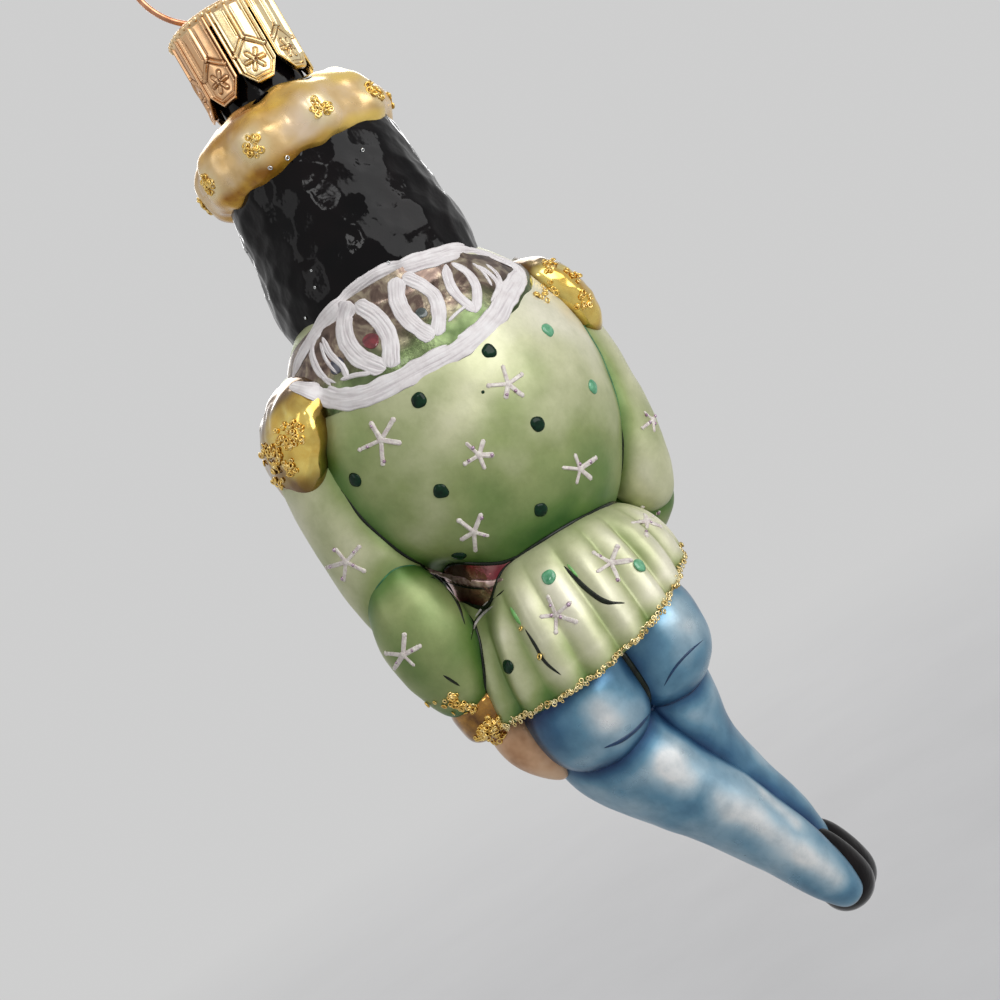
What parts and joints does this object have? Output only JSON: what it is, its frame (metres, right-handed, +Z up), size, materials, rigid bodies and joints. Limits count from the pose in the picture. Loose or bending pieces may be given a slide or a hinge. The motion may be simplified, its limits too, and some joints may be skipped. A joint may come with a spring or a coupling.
{
  "type": "nutcracker ornament",
  "caption": "Hanging blown-glass nutcracker soldier with a petalled crown cap, a round spring-wire hanger, a tall hat, a pleated jacket and swept legs.",
  "frame": {"origin": "the hang point: the inside top of the wire loop, on the ornament's axis", "axes": "+Z up along the hat's axis, towards the loop; -Y is the way the figure faces, +Y its back; +X the figure's own left side"},
  "size_m": [0.0552, 0.0439, 0.1792],
  "materials": {
    "wire": "copper-plated spring wire, bright",
    "cap": "thin stamped sheet, champagne-gold, satin",
    "black_glass": "blown glass with black gloss lacquer",
    "cream_glass": "silvered blown glass with cream-gold pearl lacquer, amber at its edges",
    "flesh_glass": "silvered blown glass with flesh-coloured lacquer",
    "white_glass": "silvered blown glass with white brushed lacquer",
    "green_glass": "silvered blown glass with pearly matte green lacquer",
    "gold_glass": "silvered blown glass with gold lacquer",
    "red_glass": "silvered blown glass with transparent red lacquer",
    "blue_glass": "silvered blown glass with satin blue lacquer",
    "gold_glitter": "gold glitter set in clear glue"
  },
  "bodies": {
    "hanger": {"hanger_wire": "wire"},
    "cap": {"crown_cap": "cap"},
    "figure": {"hat_crown": "black_glass", "hat_band": "cream_glass", "hat_floret_1": "gold_glitter", "hat_floret_2": "gold_glitter", "hat_floret_3": "gold_glitter", "hat_floret_4": "gold_glitter", "hat_floret_5": "gold_glitter", "hat_floret_6": "gold_glitter", "hat_floret_7": "gold_glitter", "hat_floret_8": "gold_glitter", "hat_floret_9": "gold_glitter", "hat_body": "black_glass", "face": "flesh_glass", "nose": "flesh_glass", "moustache": "white_glass", "beard": "white_glass", "collar": "white_glass", "jacket_back": "green_glass", "jacket_front": "green_glass", "button_1": "gold_glass", "button_2": "gold_glass", "button_3": "gold_glass", "epaulette_left": "gold_glass", "epaulette_right": "gold_glass", "sleeve_left": "green_glass", "sleeve_right": "green_glass", "cuff_left": "gold_glass", "cuff_right": "gold_glass", "hand_left": "flesh_glass", "hand_right": "flesh_glass", "waist_sash": "red_glass", "skirt_back": "green_glass", "skirt_front": "green_glass", "hem_trim_back": "gold_glitter", "hem_trim_front": "gold_glitter", "trousers_left": "blue_glass", "trousers_right": "blue_glass", "boot_left": "black_glass", "boot_right": "black_glass"}
  },
  "joints": [
    {"name": "hanger_in_cap", "type": "slide", "parent": "hanger", "child": "cap", "axis": [0, 0, -1], "range_m": [0, 0.006]},
    {"name": "cap_on_neck", "type": "slide", "parent": "cap", "child": "figure", "axis": [0, 0, -1], "range_m": [0, 0.025]}
  ]
}
